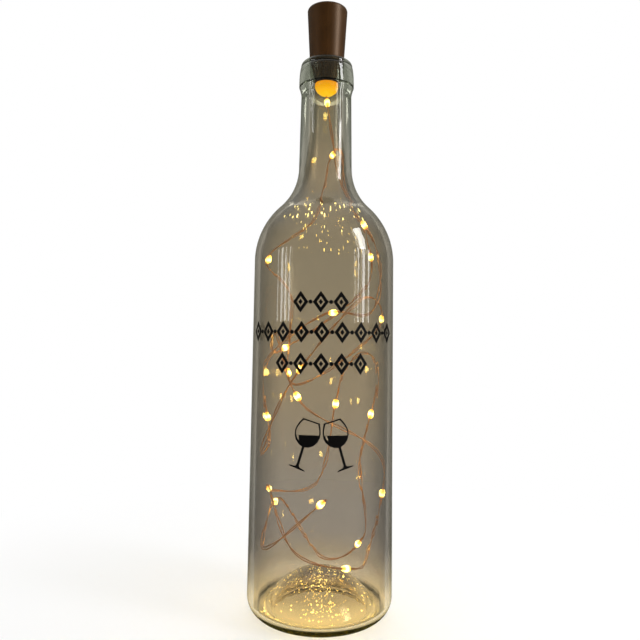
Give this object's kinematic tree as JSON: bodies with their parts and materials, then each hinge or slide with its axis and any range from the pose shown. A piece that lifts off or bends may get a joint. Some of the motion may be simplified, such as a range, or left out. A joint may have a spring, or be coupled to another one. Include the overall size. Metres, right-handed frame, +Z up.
{
  "type": "bottle light",
  "caption": "Clear glass wine bottle with a cork-shaped battery stopper and a string of warm fairy lamps on copper wire looped inside it.",
  "frame": {"origin": "on the table, under the middle of the bottle's bearing ring", "axes": "+Z up along the bottle's axis, -Y towards the printed front, +X to the right seen from the front and along the switch's travel to on"},
  "size_m": [0.075, 0.075, 0.3266],
  "materials": {
    "clear_glass": "clear flint glass, faintly green in the thick base",
    "brown_plastic": "satin moulded dark brown",
    "amber_sealant": "clear amber, lit from below",
    "copper_wire": "enamelled copper",
    "lamp_resin": "clear resin drop round a warm white lamp",
    "plated_steel": "nickel plated",
    "green_board": "green solder mask",
    "black_plastic": "matte black"
  },
  "bodies": {
    "bottle": {"bottle": "clear_glass", "string_wire": "copper_wire", "led_02": "lamp_resin", "led_03": "lamp_resin", "led_04": "lamp_resin", "led_05": "lamp_resin", "led_06": "lamp_resin", "led_07": "lamp_resin", "led_08": "lamp_resin", "led_09": "lamp_resin", "led_10": "lamp_resin", "led_11": "lamp_resin", "led_12": "lamp_resin", "led_13": "lamp_resin", "led_14": "lamp_resin", "led_15": "lamp_resin", "led_16": "lamp_resin", "led_17": "lamp_resin", "led_18": "lamp_resin", "led_19": "lamp_resin", "led_20": "lamp_resin"},
    "stopper": {"plug_body": "brown_plastic", "wire_seal": "amber_sealant", "inner_lead": "copper_wire", "negative_strip": "plated_steel", "battery_spring": "plated_steel", "button_cell_1": "plated_steel", "button_cell_2": "plated_steel", "button_cell_3": "plated_steel", "top_contact": "plated_steel", "switch_board": "green_board", "switch_housing": "plated_steel", "resistor": "black_plastic", "lead_wire": "copper_wire", "led_01": "lamp_resin"},
    "handle": {"handle_cover": "brown_plastic"},
    "switch": {"switch_knob": "black_plastic"}
  },
  "joints": [
    {"name": "stopper_lift", "type": "slide", "parent": "bottle", "child": "stopper", "axis": [0, 0, 1], "range_m": [0, 0.025], "deforming": ["lead_wire"]},
    {"name": "cover_pull", "type": "slide", "parent": "stopper", "child": "handle", "axis": [0, 0, 1], "range_m": [0, 0.035]},
    {"name": "switch_slide", "type": "slide", "parent": "stopper", "child": "switch", "axis": [1, 0, 0], "range_m": [-0.002, 0]}
  ]
}
